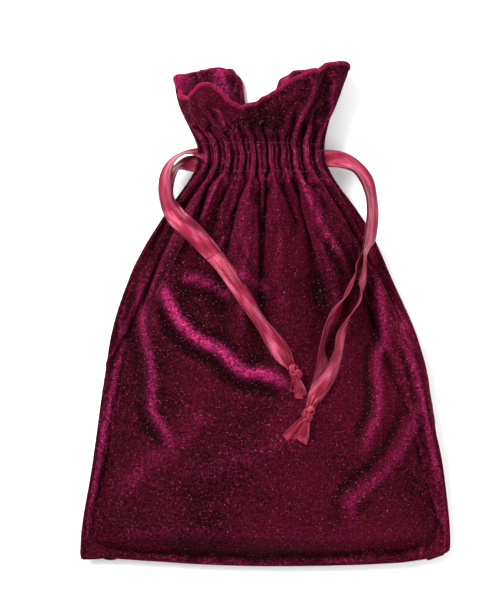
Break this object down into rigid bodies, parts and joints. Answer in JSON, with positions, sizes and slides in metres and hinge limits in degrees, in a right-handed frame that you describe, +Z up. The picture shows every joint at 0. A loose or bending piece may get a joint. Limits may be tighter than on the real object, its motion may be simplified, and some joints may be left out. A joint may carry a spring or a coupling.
{
  "type": "drawstring gift pouch",
  "caption": "Velvet drawstring gift pouch lying closed on its back, with a gathered neck, a ruffled header and satin ribbon drawstrings knotted over the front.",
  "frame": {"origin": "middle of the lowest face of the pouch without its free ribbons, as it lies on its back on a table", "axes": "+Y from the bottom seam to the mouth, +Z up from the table through the front panel, +X to the right seen from the front"},
  "size_m": [0.1403, 0.188, 0.0299],
  "materials": {
    "velvet": "burgundy short-pile velvet with a magenta sheen",
    "velvet_hem": "turned-in burgundy velvet",
    "satin_ribbon": "wine red single-face satin",
    "thread": "matching sewing thread"
  },
  "bodies": {
    "sack": {"front_panel": "velvet", "back_panel": "velvet", "left_side_seam": "velvet_hem", "right_side_seam": "velvet_hem", "bottom_seam": "velvet_hem", "back_mouth": "velvet", "back_casing_hem": "velvet_hem", "back_casing_stitch_lower": "thread", "back_casing_stitch_upper": "thread", "left_ribbon_back_run": "satin_ribbon", "right_ribbon_back_run": "satin_ribbon", "left_ribbon_upper_exit": "satin_ribbon", "left_ribbon_lower_exit": "satin_ribbon", "right_ribbon_upper_exit": "satin_ribbon", "right_ribbon_lower_exit": "satin_ribbon"},
    "front_lip": {"front_mouth": "velvet", "front_casing_hem": "velvet_hem", "front_casing_stitch_lower": "thread", "front_casing_stitch_upper": "thread", "left_ribbon_front_run": "satin_ribbon", "right_ribbon_front_run": "satin_ribbon"},
    "left_tail": {"left_ribbon_upper_strand": "satin_ribbon", "left_ribbon_lower_strand": "satin_ribbon"},
    "right_tail": {"right_ribbon_upper_strand": "satin_ribbon", "right_ribbon_lower_strand": "satin_ribbon"},
    "left_knot": {"left_ribbon_knot": "satin_ribbon", "left_ribbon_cut_end_1": "satin_ribbon", "left_ribbon_cut_end_2": "satin_ribbon"},
    "right_knot": {"right_ribbon_knot": "satin_ribbon", "right_ribbon_cut_end_1": "satin_ribbon", "right_ribbon_cut_end_2": "satin_ribbon"}
  },
  "joints": [
    {"name": "mouth_open", "type": "hinge", "parent": "sack", "child": "front_lip", "pos_m": [0, 0.042, 0.0215], "axis": [1, 0, 0], "range_deg": [0, 30]},
    {"name": "left_lift", "type": "hinge", "parent": "sack", "child": "left_tail", "pos_m": [-0.02926, 0.03263, 0.02077], "axis": [-0.8036, -0.5952, 0], "range_deg": [0, 85]},
    {"name": "right_lift", "type": "hinge", "parent": "sack", "child": "right_tail", "pos_m": [0.03852, 0.02292, 0.01787], "axis": [-0.9425, 0.3341, 0], "range_deg": [0, 85]},
    {"name": "left_draw", "type": "slide", "parent": "left_tail", "child": "left_knot", "axis": [-0.5952, 0.8036, 0], "range_m": [0, 0.0085], "deforming": ["left_ribbon_upper_strand", "left_ribbon_lower_strand"]},
    {"name": "right_draw", "type": "slide", "parent": "right_tail", "child": "right_knot", "axis": [0.3341, 0.9425, 0], "range_m": [0, 0.0085], "deforming": ["right_ribbon_upper_strand", "right_ribbon_lower_strand"]}
  ],
  "couplings": [
    {"joint": "left_draw", "follows": "mouth_open", "m_per_rad": 0.016},
    {"joint": "right_draw", "follows": "mouth_open", "m_per_rad": 0.016}
  ]
}
